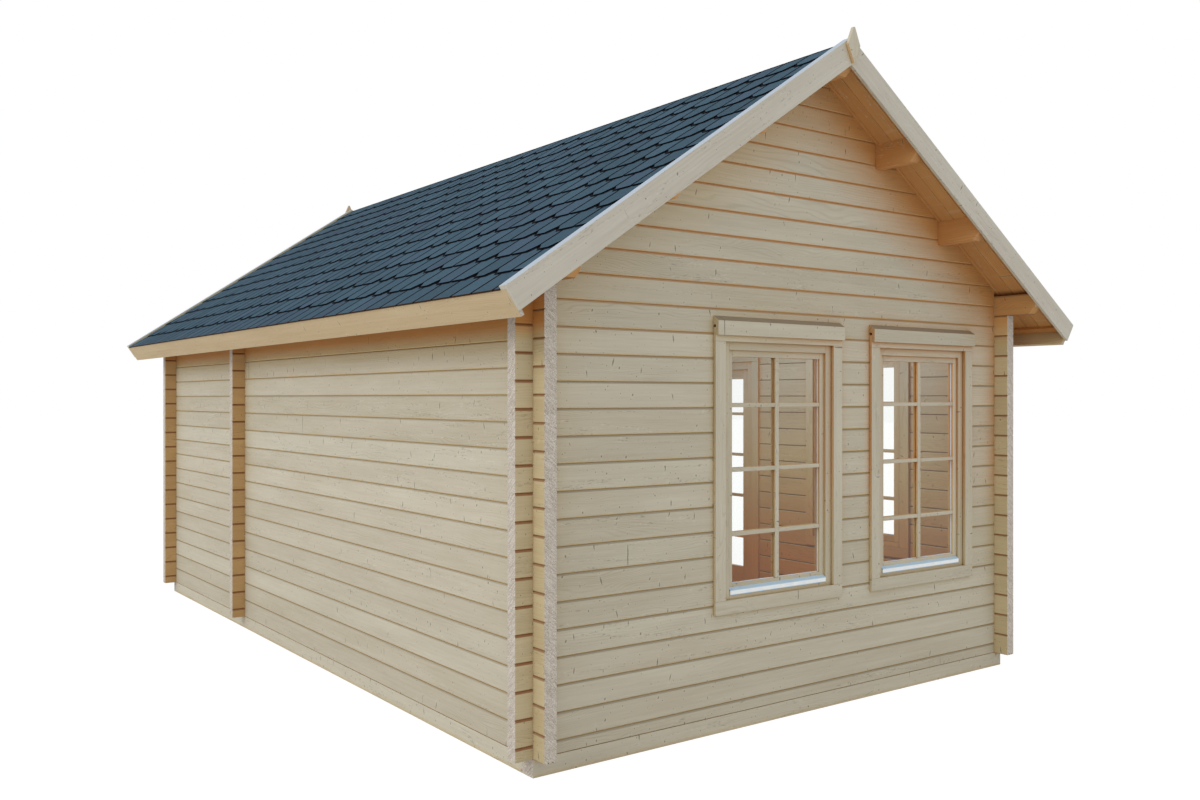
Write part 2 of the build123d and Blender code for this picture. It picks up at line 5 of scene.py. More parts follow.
import bmesh
import bpy
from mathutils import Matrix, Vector


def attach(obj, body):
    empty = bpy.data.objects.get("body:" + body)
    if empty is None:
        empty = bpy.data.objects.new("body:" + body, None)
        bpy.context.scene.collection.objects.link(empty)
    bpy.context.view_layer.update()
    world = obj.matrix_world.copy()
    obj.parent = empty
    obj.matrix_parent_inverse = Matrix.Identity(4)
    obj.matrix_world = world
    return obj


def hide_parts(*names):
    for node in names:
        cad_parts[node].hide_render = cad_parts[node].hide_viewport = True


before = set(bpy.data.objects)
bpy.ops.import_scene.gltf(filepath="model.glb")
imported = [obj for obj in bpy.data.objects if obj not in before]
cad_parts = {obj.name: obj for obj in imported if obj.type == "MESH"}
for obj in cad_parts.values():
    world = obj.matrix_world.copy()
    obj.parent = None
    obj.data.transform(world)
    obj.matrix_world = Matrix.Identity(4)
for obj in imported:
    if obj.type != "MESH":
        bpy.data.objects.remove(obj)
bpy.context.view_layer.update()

# Camera at the photograph's place
camera_data = bpy.data.cameras.new("camera")
camera_data.sensor_width = 36
camera_data.lens = 32.62
camera_data.shift_y = -0.0017
camera_data.clip_end = 200
camera = bpy.data.objects.new("camera", camera_data)
camera.location = (-4.7196, -7.5583, 1.8283)
camera.rotation_euler = (math.radians(90), 0, math.radians(-36.131))
bpy.context.collection.objects.link(camera)
bpy.context.scene.camera = camera
bpy.context.scene.view_settings.view_transform = "Standard"

# Sizes shared with the solids, in metres: walls and floors
HALF_W, HALF_L, LOG = 1.9, 3.15, 0.07
COURSE, BASE = 0.135, 0.09
CROSS_START = BASE + COURSE / 2
PARTITION_Y = 1.092
FLOOR_TOP, FLOOR_GAP = 0.109, 0.008
BOARD = 0.020

# Windows, door and inner doorway: heights and half widths of panes, leaf and opening
WINDOWS = (("front", -0.232), ("front", 1.0485), ("right", -1.942))
PANE_LOW, PANE_HIGH, PANE_HALF = 0.801, 2.057, 0.351
DOOR_Y, DOOR_LOW, DOOR_TOP, DOOR_HALF = -0.315, 0.137, 2.088, 0.446
DOORWAY_TOP, DOORWAY_HALF = 2.050, 0.400
CASING = 0.075
RAIL_LOW = PANE_LOW - 0.059

# Roof: S is a distance down a slope from the ridge, and ROOF_TOP a height over the boards' underside
PITCH = math.radians(34.1)
RIDGE_UNDER = BASE + 17 * COURSE + 0.124 + HALF_W * math.tan(PITCH)
ROOF_END, ROOF_TOP = 3.46, 0.042
EAVES_S = (2.25 - ROOF_TOP * math.sin(PITCH)) / math.cos(PITCH)
SLOPES = (("left", -1), ("right", 1))

# Fine joints between the boards made here, and the strip round the glass
JOINT, PLANK_GAP, SEAL = 0.0003, 0.001, 0.004


# Materials
class Graph:
    """Short calls for building a node tree."""

    def __init__(self, tree):
        self.tree = tree

    def set(self, socket, value):
        """Links a socket to another, or gives it a value."""
        if isinstance(value, bpy.types.NodeSocket):
            self.tree.links.new(value, socket)
        else:
            socket.default_value = value

    def node(self, kind, inputs=(), **settings):
        """A node with settings, and with inputs as (name or index, value) pairs."""
        node = self.tree.nodes.new(kind)
        for key, value in settings.items():
            setattr(node, key, value)
        for key, value in inputs:
            self.set(node.inputs[key], value)
        return node

    def math(self, operation, a, b=0.0, c=0.0):
        return self.node("ShaderNodeMath", ((0, a), (1, b), (2, c)), operation=operation).outputs[0]

    def times(self, a, b):
        return self.math("MULTIPLY", a, b)

    def minus(self, a, b):
        return self.math("SUBTRACT", a, b)

    def most(self, a, b):
        return self.math("MAXIMUM", a, b)

    def fraction(self, value):
        return self.math("FRACT", value)

    def linear(self, value, factor, offset):
        return self.math("MULTIPLY_ADD", value, factor, offset)

    def vector(self, x, y, z):
        return self.node("ShaderNodeCombineXYZ", ((0, x), (1, y), (2, z))).outputs[0]

    def split(self, vector):
        return self.node("ShaderNodeSeparateXYZ", ((0, vector),)).outputs

    def vector_math(self, operation, a, b=(0.0, 0.0, 0.0)):
        """Outputs of vector arithmetic: a vector first, then Value."""
        return self.node("ShaderNodeVectorMath", ((0, a), (1, b)), operation=operation).outputs

    def scale(self, vector, factors):
        return self.vector_math("MULTIPLY", vector, factors)[0]

    def add(self, a, b):
        return self.vector_math("ADD", a, b)[0]

    def length(self, vector):
        return self.vector_math("LENGTH", vector)["Value"]

    def coordinates(self, kind):
        """The Object place or the Normal of the surface."""
        return self.node("ShaderNodeTexCoord").outputs[kind]

    def attribute(self, name, output="Fac"):
        return self.node("ShaderNodeAttribute", attribute_name=name).outputs[output]

    def occlusion(self, distance):
        """How open the surroundings are within a distance: 0 in a tight corner, 1 in the open."""
        inputs = (("Distance", distance),)
        return self.node("ShaderNodeAmbientOcclusion", inputs, samples=2).outputs["AO"]

    def noise(self, vector, scale=1.0, detail=2.0, rough=0.5):
        inputs = (("Vector", vector), ("Scale", scale), ("Detail", detail), ("Roughness", rough))
        return self.node("ShaderNodeTexNoise", inputs).outputs[0]

    def white(self, value):
        """Random number from a number."""
        return self.node("ShaderNodeTexWhiteNoise", (("W", value),), noise_dimensions="1D").outputs[0]

    def ramp(self, value, low, high, out_low=0.0, out_high=1.0):
        """Clamped linear map of a value."""
        inputs = ((0, value), (1, low), (2, high), (3, out_low), (4, out_high))
        return self.node("ShaderNodeMapRange", inputs).outputs[0]

    def mix(self, factor, a, b, blend="MIX"):
        node = self.tree.nodes.new("ShaderNodeMix")
        node.data_type = "RGBA"
        node.blend_type = blend
        self.set(node.inputs[0], factor)
        self.set(node.inputs[6], a)
        self.set(node.inputs[7], b)
        return node.outputs[2]

    def tint(self, factor, colour, stain):
        """A colour, in part multiplied by a stain."""
        return self.mix(factor, colour, self.mix(1.0, colour, stain, "MULTIPLY"))

    def bump(self, height, strength, distance):
        inputs = (("Height", height), ("Strength", strength), ("Distance", distance))
        return self.node("ShaderNodeBump", inputs).outputs[0]


def rgb(*srgb):
    """Linear colour with alpha from 0..255 screen values."""
    linear = [c / 255 / 12.92 if c <= 10 else ((c / 255 + 0.055) / 1.055) ** 2.4 for c in srgb]
    return (*linear, 1.0)


def empty_material(name):
    """A material with only its output, and the graph to build it with."""
    material = bpy.data.materials.new(name)
    material.use_nodes = True
    material.node_tree.nodes.clear()
    g = Graph(material.node_tree)
    return material, g, g.node("ShaderNodeOutputMaterial")


def principled_material(name):
    """A material with a Principled shader, which is the third value."""
    material, g, output = empty_material(name)
    shader = g.node("ShaderNodeBsdfPrincipled")
    g.set(output.inputs[0], shader.outputs[0])
    return material, g, shader


# Kinds of knots: cell size, length across the board, half width along it, darkness, share of cells
KNOTS = (
    (0.19, 0.042, 0.0062, 0.78, 0.80),
    (0.12, 0.014, 0.0066, 0.75, 0.70),
    (0.048, 0.0085, 0.0035, 0.72, 0.65),
)


def add_knots(g, colour, vector, tone, amount):
    """Spike knots, eyes and pin knots, each with a pale ring, more of them on some boards."""
    u, v = g.split(vector)[:2]
    rough = g.noise(g.scale(vector, (70.0, 70.0, 70.0)), 1.0, 2.0)
    warp = g.linear(rough, 0.008, -0.004)
    many = g.ramp(g.fraction(g.times(tone, 3.7)), 0.0, 1.0, 0.3, 1.0)
    for salt, (cell, length, width, depth, share) in enumerate(KNOTS):
        # A square of a grid, with random numbers of its own
        across = g.linear(warp, 0.6, v)
        place = g.scale(g.vector(g.math("ADD", u, warp), across, 0.0), (1 / cell, 1 / cell, 0.0))
        square = g.vector_math("FLOOR", place)[0]
        chance = g.node("ShaderNodeTexWhiteNoise", (("Vector", g.add(square, (0.0, 0.0, 7.0 + salt))),))
        pick, size, turn = g.split(chance.outputs["Color"])[:3]

        # The place in it, from the knot's middle, and over the knot's length and width
        inner = g.split(g.vector_math("FRACTION", place)[0])
        middle_u = g.linear(g.fraction(g.times(turn, 13.7)), 0.6, 0.2)
        middle_v = g.linear(size, 0.6, 0.2)
        du = g.times(g.minus(inner[0], middle_u), cell)
        dv = g.times(g.minus(inner[1], middle_v), cell)
        flip = g.ramp(turn, 0.49, 0.51, -1.0, 1.0)
        scale = g.linear(g.fraction(g.times(size, 9.3)), 0.8, 0.5)
        over = g.math("DIVIDE", g.times(dv, flip), g.times(scale, length / 2))
        taper = g.times(g.ramp(over, -1.0, 1.0, 0.3, 1.0), g.times(scale, width))
        lean = g.linear(g.linear(turn, 0.7, -0.35), dv, du)
        near = g.length(g.vector(g.math("DIVIDE", lean, taper), over, 0.0))
        chosen = g.math("LESS_THAN", pick, g.times(many, share * amount))
        halo = g.times(g.ramp(near, 1.0, 2.8, 1.0, 0.0), chosen)
        eye = g.times(g.ramp(near, 0.35, 1.2, 1.0, 0.0), chosen)
        colour = g.mix(g.times(halo, 0.22), colour, rgb(210, 203, 186))
        colour = g.mix(g.times(eye, depth), colour, rgb(90, 84, 70))
    return colour


# Torn grain: where its lines lie in the noise, how wide and strong they are, and their colour
FLECKS = ((0.5, 0.02, 0.45, (222, 216, 202)), (0.512, 0.016, 0.65, (130, 124, 108)))


def add_fleck(g, colour, vector, tone):
    """Torn grain on some boards: dashes of pale and grey along thin wavy lines."""
    field = g.noise(g.scale(vector, (0.8, 12.0, 12.0)), 1.0, 3.0)
    dash = g.ramp(g.noise(g.scale(vector, (45.0, 150.0, 150.0)), 1.0, 2.0), 0.53, 0.60)
    some = g.math("GREATER_THAN", g.fraction(g.times(tone, 5.1)), 0.65)
    for level, width, amount, shade in FLECKS:
        off = g.math("ABSOLUTE", g.minus(field, level))
        line = g.times(g.ramp(off, 0.0, width, amount, 0.0), g.times(dash, some))
        colour = g.mix(line, colour, rgb(*shade))
    return colour


# Surfaces this far in from a wall's outer face are inside the cabin
WALL_MIDDLE = 0.038


def painted_shade_warmth(g, glow, tails):
    """Painted warm shade on sheltered wood, and masks of what is inside and, on logs with tails, beyond
    the walls.
    """
    x, y, z = g.split(g.node("ShaderNodeNewGeometry").outputs["Position"])
    off_x, off_y = g.math("ABSOLUTE", x), g.math("ABSOLUTE", y)
    # Painted warm shade where occlusion shows shelter under the eaves: none low down, weaker towards the
    # sunlit left
    eaves = g.times(g.ramp(g.occlusion(0.5), 0.48, 0.72, 1.0, 0.0), g.ramp(z, 0.3, 1.4, 0.0, 1.0))
    eaves = g.times(eaves, g.ramp(x, -1.2, 0.4, 0.35, 1.0))
    within_x = g.math("LESS_THAN", off_x, HALF_W - WALL_MIDDLE)
    within_y = g.math("LESS_THAN", off_y, HALF_L - WALL_MIDDLE)
    inside = g.times(within_x, within_y)
    # Painted warm shade inside the rooms, strongest low down
    low = g.times(inside, g.ramp(z, 0.5, 2.0, 1.0, 0.0))
    warm_shade = g.most(g.times(eaves, glow), low)
    beyond = None
    if tails:
        # Log ends past the end walls: a warm tint, least on the front wall's ends, with painted warm
        # shade near the roof
        beyond = g.most(g.minus(off_x, HALF_W), g.minus(off_y, HALF_L))
        beyond = g.ramp(beyond, 0.001, 0.003)
        warm_shade = g.times(warm_shade, g.minus(1.0, beyond))
        ends = g.times(g.math("GREATER_THAN", off_y, HALF_L + 0.003), 0.42)
        ends = g.most(ends, g.ramp(y, -3.0, -2.8, 0.32, 0.75))
        ends = g.most(ends, g.ramp(z, 1.95, 2.35, 0.0, 0.9))
        warm_shade = g.most(warm_shade, g.times(beyond, ends))

        # Painted warm shade on the long walls in a band below the soffit
        side = g.math("GREATER_THAN", off_x, HALF_W - 0.006)
        warm_shade = g.most(warm_shade, g.times(side, g.ramp(z, 2.04, 2.19)))
    return warm_shade, inside, beyond


# Tints of painted shade: warm on sheltered wood, brown in its creases
SHADE_YELLOW, SHADE_ORANGE, CREASE_BROWN_SHADE = (1.0, 0.87, 0.60, 1), (1.0, 0.58, 0.30, 1), (0.50, 0.29, 0.17, 1)
WEATHERED = ((203, 197, 179), (167, 158, 136))


def wood(name, coords, colours=WEATHERED, knots=1.0, groove=None, glow=1.0, top=None):
    """Planed spruce in two colours, pale and dark.

    coords(graph) gives a vector with the grain along its X, a tone and an end mask; groove(graph)
    gives the masks of the joints between logs; glow is how strongly painted warm shade tints
    sheltered wood; and top is the colour of upward faces and its strength.
    """
    material, g, shader = principled_material(name)
    vector, tone, cut = coords(g)
    u, v, w = g.split(vector)

    # Growth rings round a pith line that wanders along the board, cut into long pointed figures
    wander = g.noise(g.vector(g.times(u, 1.3), g.times(v, 5.0), w), 1.0, 2.0)
    shift = g.linear(wander, 0.22, -0.11)
    rings_v = g.math("ADD", v, shift)
    rings_w = g.math("ADD", w, g.times(shift, 0.6))
    radius = g.length(g.vector(0.0, rings_v, rings_w))
    ring = g.ramp(g.math("SINE", g.times(radius, 620.0)), 0.3, 1.0)

    # Long fine streaks and broad cloudy tones
    streak = g.noise(g.scale(vector, (1.6, 70.0, 70.0)), 1.0, 4.0, 0.6)
    fine = g.noise(g.scale(vector, (9.0, 420.0, 420.0)), 1.0, 2.0, 0.6)
    cloud = g.noise(g.scale(vector, (1.4, 9.0, 9.0)), 1.0, 3.0, 0.55)
    figure = g.ramp(g.noise(g.scale(vector, (0.9, 6.0, 6.0)), 1.0, 2.0), 0.45, 0.62)
    shade = g.linear(streak, 0.5, -0.25)
    shade = g.linear(fine, 0.45, g.math("ADD", shade, -0.225))
    shade = g.linear(g.times(ring, figure), 0.25, shade)
    shade = g.linear(cloud, 0.6, g.math("ADD", shade, -0.3))
    shade = g.linear(tone, 0.28, g.math("ADD", shade, 0.24))
    pale, dark = colours
    colour = g.mix(g.ramp(shade, 0.0, 1.0), rgb(*pale), rgb(*dark))
    warm = g.fraction(g.times(tone, 7.31))
    pink = g.times(g.times(warm, cloud), 0.5)
    colour = g.tint(pink, colour, (1.05, 0.97, 0.90, 1))
    if knots:
        colour = add_knots(g, add_fleck(g, colour, vector, tone), vector, tone, knots)

    # Sawn ends: pale and mottled, with slanting scratches of the saw
    speck = g.noise(g.scale(vector, (240.0, 240.0, 240.0)), 1.0, 3.0, 0.7)
    saw = g.math("ADD", g.times(v, 90.0), g.times(w, 90.0))
    scratch = g.noise(g.vector(saw, g.times(v, 25.0), g.times(tone, 30.0)), 1.0, 4.0, 0.75)
    mottle = g.linear(scratch, 1.4, g.linear(speck, 2.2, -1.30))
    end_colour = g.mix(g.ramp(mottle, 0.1, 0.9), rgb(220, 212, 201), rgb(150, 138, 122))

    # Bevelled joints: painted ochre bounce light above, painted grey shade below, painted brown shade on
    # the log ends and painted warm shade up high
    warm_shade, inside, beyond = painted_shade_warmth(g, glow, bool(groove))
    outdoors = g.linear(inside, -0.7, 1.0)
    bare = 1.0
    if groove:
        above, below, line = groove(g)
        height = g.split(g.coordinates("Object"))[2]
        open_air = g.minus(1.0, inside)
        # Outdoors, painted grey shade below each joint and painted ochre bounce light above it
        colour = g.mix(g.times(below, open_air), colour, rgb(150, 142, 124))
        colour = g.mix(g.times(above, g.times(open_air, 0.85)), colour, rgb(222, 198, 146))
        colour = g.mix(g.times(line, 0.8), colour, rgb(150, 129, 93))
        band = g.most(above, below)
        # Painted brown shade in the joints of the log ends
        colour = g.mix(g.times(band, g.times(beyond, 0.85)), colour, rgb(142, 94, 56))
        bare = g.minus(1.0, band)
        # Painted warm shade in the outdoor joints high on the walls
        high_band_shade = g.times(g.minus(open_air, beyond), g.ramp(height, 1.9, 2.6, 0.0, 0.65))
        colour = g.mix(g.times(band, high_band_shade), colour, rgb(188, 132, 74))
        warm_shade = g.times(warm_shade, g.linear(bare, 0.6, 0.4))

    # Painted warm shade on sheltered wood and painted brown shade in creases; some upward faces get a
    # colour of their own
    corner = g.occlusion(0.03)
    crease_shade_mask = g.times(bare, outdoors)
    crease_warm_shade = g.times(g.ramp(corner, 0.30, 0.90, 0.65, 0.0), crease_shade_mask)
    warm_shade = g.most(warm_shade, crease_warm_shade)
    colour = g.tint(g.ramp(warm_shade, 0.0, 0.5), colour, SHADE_YELLOW)
    colour = g.tint(g.ramp(warm_shade, 0.5, 1.0), colour, SHADE_ORANGE)
    colour = g.tint(g.times(g.ramp(corner, 0.0, 0.28, 1.0, 0.0), crease_shade_mask), colour, CREASE_BROWN_SHADE)
    if groove:
        colour = g.mix(g.times(line, g.times(inside, 0.75)), colour, rgb(84, 50, 28))
    # Upward faces in a colour of their own: painted blue sky light on the barges and battens, a darker
    # top on the weather boards
    if top:
        top_colour, strength = top
        upward = g.split(g.coordinates("Normal"))[2]
        colour = g.mix(g.ramp(upward, 0.72, 0.8, 0.0, strength), colour, rgb(*top_colour))
    colour = g.mix(cut, colour, end_colour)
    g.set(shader.inputs["Base Color"], colour)
    shader.inputs["Roughness"].default_value = 0.72
    shader.inputs["Specular IOR Level"].default_value = 0.25
    g.set(shader.inputs["Normal"], g.bump(g.linear(streak, 0.6, fine), 0.25, 0.0006))
    return material


def board_coords(g):
    """Grain, tone and mask of cut edges from the attributes of the pieces made here."""
    return g.attribute("grain", "Vector"), g.attribute("tone"), g.attribute("cut")


def solid_coords(axis, step_axis, step_size, start, salt):
    """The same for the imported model's solids: grain along one axis, tones in steps along another."""

    def coords(g):
        place = g.split(g.coordinates("Object"))
        normal = g.split(g.coordinates("Normal"))
        step = g.math("FLOOR", g.math("DIVIDE", g.minus(place[step_axis], start), step_size))
        tone = g.white(g.math("ADD", step, salt))
        other = g.white(g.math("ADD", step, salt + 50.5))
        rest = [place[k] for k in (2, 1, 0) if k != axis]
        u = g.linear(other, 61.0, place[axis])
        v = g.minus(g.linear(tone, 23.0, rest[0]), g.times(step, step_size))
        w = g.linear(g.fraction(g.times(other, 9.7)), 0.2, rest[1])
        cut = g.math("GREATER_THAN", g.math("ABSOLUTE", normal[axis]), 0.9)
        return g.vector(u, v, w), tone, cut

    return coords


def log_groove(start, grey, reach):
    """Masks of each joint between logs: above it, below it as far as reach, and of its dark line."""

    def masks(g):
        z = g.split(g.coordinates("Object"))[2]
        phase = g.fraction(g.math("DIVIDE", g.minus(z, start), COURSE))
        over = g.times(phase, COURSE)
        under = g.times(g.minus(1.0, phase), COURSE)
        above = g.ramp(over, 0.0034, 0.0048, 1.0, 0.0)
        below = g.ramp(under, reach - 0.003, reach, grey, 0.0)
        line = g.most(g.ramp(under, 0.0030, 0.0050, 1.0, 0.0), g.ramp(over, 0.0, 0.001, 1.0, 0.0))
        return above, below, line

    return masks


# Pale and dark colours of the woods that aren't weathered and of the painted shadow along the eaves, and
# the woods
ORANGE = ((203, 160, 110), (172, 122, 74))
PURLIN = ((208, 164, 116), (178, 130, 82))
FASCIA = ((204, 184, 149), (176, 153, 115))
EDGE = ((204, 200, 187), (168, 161, 145))
EAVES_SHADE = ((96, 66, 42), (72, 48, 30))
FLOOR = ((196, 168, 126), (168, 134, 92))
long_coords = solid_coords(1, 2, COURSE, BASE, 3.3)
cross_coords = solid_coords(0, 2, COURSE, CROSS_START, 71.7)
long_log_wood = wood("long_log_wood", long_coords, groove=log_groove(BASE, 0.65, 0.0115))
cross_log_wood = wood("cross_log_wood", cross_coords, groove=log_groove(CROSS_START, 0.95, 0.0130))
beam_y_wood = wood("beam_y_wood", solid_coords(1, 0, 0.4, -0.2, 11.1), glow=0.3)
beam_x_wood = wood("beam_x_wood", solid_coords(0, 1, 0.4, -0.2, 21.1), glow=0.3)
purlin_wood = wood("purlin_wood", solid_coords(1, 0, 0.3, -0.15, 31.1), PURLIN, glow=0.6)
fascia_wood = wood("fascia_wood", solid_coords(1, 0, 0.4, -0.2, 41.1), FASCIA, knots=1.3, glow=0.15)
board_wood = wood("board_wood", board_coords)
head_wood = wood("head_wood", board_coords, top=((126, 114, 96), 0.75))
# Painted blue sky light on the upward faces of the barges and battens
edge_wood = wood("edge_wood", board_coords, EDGE, glow=0.25, top=((172, 186, 204), 0.85))
orange_board_wood = wood("orange_board_wood", board_coords, ORANGE, knots=0.8, glow=0.4)
# Dark brown wood for the strip of painted shadow along the eaves
eaves_shade_wood = wood("eaves_shade_wood", board_coords, EAVES_SHADE, knots=0)
floor_wood = wood("floor_wood", board_coords, FLOOR, knots=0.8)


def shingle_material():
    """Slate granules, each tab with its own tone, black on its cut edges, partly the bitumen's own colour
    and partly painted shade.
    """
    material, g, shader = principled_material("slate_shingle")
    vector, tone, cut = board_coords(g)
    slant = (("Vector", vector), ("Rotation", (0, 0, 0.75)), ("Scale", (30, 130, 30)))
    diagonal = g.node("ShaderNodeMapping", slant)
    streak = g.noise(diagonal.outputs[0], 1.0, 3.0, 0.6)
    granule = g.noise(g.scale(vector, (650.0, 650.0, 650.0)), 1.0, 2.0, 0.7)
    value = g.linear(streak, 0.5, g.linear(granule, 0.9, -0.2))
    colour = g.mix(g.ramp(value, 0.15, 0.85), rgb(51, 72, 87), rgb(76, 101, 116))
    slate = g.tint(g.ramp(tone, 0.55, 1.0, 0.0, 0.65), colour, (1.12, 0.93, 1.02, 1))
    level = g.ramp(g.fraction(g.times(tone, 5.3)), 0.0, 1.0, 0.86, 1.1)
    slate = g.mix(1.0, slate, g.vector(level, level, level), "MULTIPLY")
    # Cut edges: black, partly bitumen and partly painted shade; the eaves row's edges in brown painted
    # shade; the painted shadow pieces black
    edge = g.mix(g.ramp(cut, 0.6, 0.9), rgb(64, 44, 28), rgb(14, 16, 22))
    g.set(shader.inputs["Base Color"], g.mix(g.ramp(cut, 0.1, 0.4), slate, edge))
    shader.inputs["Roughness"].default_value = 0.95
    shader.inputs["Specular IOR Level"].default_value = 0.05
    g.set(shader.inputs["Normal"], g.bump(granule, 0.5, 0.0012))
    return material


def metal_material(name, colour, roughness):
    """Metal with a faint brushed and cloudy finish."""
    material, g, shader = principled_material(name)
    cloud = g.noise(g.scale(g.coordinates("Object"), (60.0, 60.0, 400.0)), 1.0, 3.0)
    darker = [c * 0.9 for c in colour]
    g.set(shader.inputs["Base Color"], g.mix(g.ramp(cloud, 0.3, 0.7), rgb(*colour), rgb(*darker)))
    shader.inputs["Metallic"].default_value = 1.0
    g.set(shader.inputs["Roughness"], g.ramp(cloud, 0.3, 0.7, roughness * 0.85, roughness * 1.15))
    return material


def glass_material():
    """Clear pane that lets light through and mirrors a little."""
    material, g, output = empty_material("pane_glass")
    clear = g.node("ShaderNodeBsdfTransparent", (("Color", (0.99, 0.995, 0.99, 1)),))
    gloss = g.node("ShaderNodeBsdfGlossy", (("Color", (1, 1, 1, 1)), ("Roughness", 0.02)))
    fresnel = g.node("ShaderNodeFresnel", (("IOR", 1.45),)).outputs[0]
    front = g.minus(1.0, g.node("ShaderNodeNewGeometry").outputs["Backfacing"])
    mirror = g.times(fresnel, front)
    mix = g.node("ShaderNodeMixShader", ((0, mirror), (1, clear.outputs[0]), (2, gloss.outputs[0])))
    g.set(output.inputs[0], mix.outputs[0])
    return material


def seal_material():
    """Pale sealing strip."""
    material, g, shader = principled_material("pale_seal")
    cloud = g.noise(g.scale(g.coordinates("Object"), (40.0, 40.0, 40.0)), 1.0, 3.0)
    colour = g.mix(g.ramp(cloud, 0.3, 0.7), rgb(226, 238, 252), rgb(204, 222, 244))
    g.set(shader.inputs["Base Color"], colour)
    shader.inputs["Roughness"].default_value = 0.4
    return material


def rail_material():
    """Bright aluminium, with a painted blue sky reflection on its folds and upward faces."""
    material, g, shader = principled_material("bright_aluminium")
    z = g.split(g.coordinates("Object"))[2]
    upward = g.split(g.coordinates("Normal"))[2]
    lower = g.ramp(z, RAIL_LOW + 0.003, RAIL_LOW + 0.005, 1.0, 0.0)
    upper = g.ramp(z, RAIL_LOW + 0.023, RAIL_LOW + 0.025)
    # Painted sky reflection on the folds and upward faces
    painted_sky = g.most(g.most(lower, upper), g.ramp(upward, 0.1, 0.3))
    cloud = g.noise(g.scale(g.coordinates("Object"), (30.0, 30.0, 200.0)), 1.0, 3.0)
    face = g.mix(g.ramp(cloud, 0.3, 0.7), rgb(244, 247, 247), rgb(230, 234, 235))
    g.set(shader.inputs["Base Color"], g.mix(painted_sky, face, rgb(184, 212, 232)))
    shader.inputs["Metallic"].default_value = 0.1
    shader.inputs["Roughness"].default_value = 0.3
    return material


slate = shingle_material()
aluminium = rail_material()
seal = seal_material()
zinc = metal_material("zinc_steel", (190, 190, 188), 0.35)
steel = metal_material("satin_steel", (200, 200, 198), 0.25)
pane = glass_material()


# Boards: every board is a prism with grain coordinates and a random tone
def new_pile():
    return {"verts": [], "faces": [], "grain": [], "tone": [], "cut": []}


def add_faces(pile, start, count, tone, end_cut=0.0, side_cut=0.0):
    """Faces of a prism from its points: two ends of count points each, then the sides."""
    ends = [list(range(count))[::-1], list(range(count, 2 * count))]
    sides = [[k, (k + 1) % count, (k + 1) % count + count, k + count] for k in range(count)]
    pile["faces"] += [[start + k for k in face] for face in ends + sides]
    pile["tone"] += [tone] * (count + 2)
    pile["cut"] += [end_cut] * 2 + [side_cut] * count


def add_prism(pile, outline, sweep, along, rng):
    """Adds a prism of a closed outline swept by a vector, with its grain along a direction."""
    start = len(pile["verts"])
    points = [Vector(p) for p in outline]
    points += [p + Vector(sweep) for p in points]
    grain = Vector(along).normalized()
    side = grain.cross(Vector(sweep).normalized())
    if side.length < 0.1:
        side = grain.orthogonal()
    side.normalize()
    third = grain.cross(side)
    centre = sum(points, Vector()) / len(points)
    offset = Vector((rng.uniform(0, 50), rng.uniform(-0.05, 0.05), rng.uniform(0.02, 0.12)))
    for point in points:
        local = point - centre
        pile["grain"].append(Vector((local.dot(grain), local.dot(side), local.dot(third))) + offset)
    pile["verts"] += points
    add_faces(pile, start, len(outline), rng.random())


def finish_pile(pile, name, material, body="cabin", nodes=(), bevel=0.0015):
    """Makes the object of a pile, with softened edges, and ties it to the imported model."""
    mesh = bpy.data.meshes.new(name)
    mesh.from_pydata([tuple(v) for v in pile["verts"]], [], pile["faces"])
    grain = mesh.attributes.new("grain", "FLOAT_VECTOR", "POINT")
    grain.data.foreach_set("vector", [c for v in pile["grain"] for c in v])
    for key in ("tone", "cut"):
        mesh.attributes.new(key, "FLOAT", "FACE").data.foreach_set("value", pile[key])
    work = bmesh.new()
    work.from_mesh(mesh)
    bmesh.ops.recalc_face_normals(work, faces=work.faces)
    work.to_mesh(mesh)
    work.free()
    mesh.materials.append(material)
    piece = bpy.data.objects.new(name, mesh)
    bpy.context.collection.objects.link(piece)
    if bevel:
        soften = piece.modifiers.new("soften", "BEVEL")
        soften.width = bevel
        soften.segments = 2
        soften.limit_method = "ANGLE"
        soften.harden_normals = False
    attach(piece, body)
    if nodes:
        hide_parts(*nodes)


# Faces that carry joinery: a point at u = 0, the way u grows, and the way out
UP, X_WAY, Y_WAY = Vector((0, 0, 1)), Vector((1, 0, 0)), Vector((0, 1, 0))
WALLS = {
    "front": (Vector((0, -HALF_L, 0)), X_WAY, -Y_WAY),
    "right": (Vector((HALF_W, 0, 0)), Y_WAY, X_WAY),
    "partition_front": (Vector((0, PARTITION_Y, 0)), X_WAY, -Y_WAY),
    "partition_back": (Vector((0, PARTITION_Y + LOG, 0)), X_WAY, Y_WAY),
}
OUTSIDE, INSIDE = (0, BOARD), (-LOG - BOARD, -LOG)


def wall_board(pile, wall, u, z, depth, rng, upright=False):
    """Board on a wall: u, z and depth are (low, high) along the wall, up, and out from its face."""
    origin, ex, out = WALLS[wall]
    places = ((u[0], z[0]), (u[1], z[0]), (u[1], z[1]), (u[0], z[1]))
    corners = [origin + ex * along + UP * high + out * depth[0] for along, high in places]
    add_prism(pile, corners, out * (depth[1] - depth[0]), UP if upright else ex, rng)


def casing(pile, wall, centre, half, low, high, depth, rng, foot=False):
    """Casing boards round an opening: the side boards stand between the top and bottom ones."""
    full = (centre - half - CASING, centre + half + CASING)
    wall_board(pile, wall, full, (high, high + CASING), depth, rng)
    if not foot:
        wall_board(pile, wall, full, (low - CASING, low), depth, rng)
    for side in (-1, 1):
        u = sorted((centre + side * half, centre + side * (half + CASING)))
        wall_board(pile, wall, u, (low + JOINT, high - JOINT), depth, rng, upright=True)


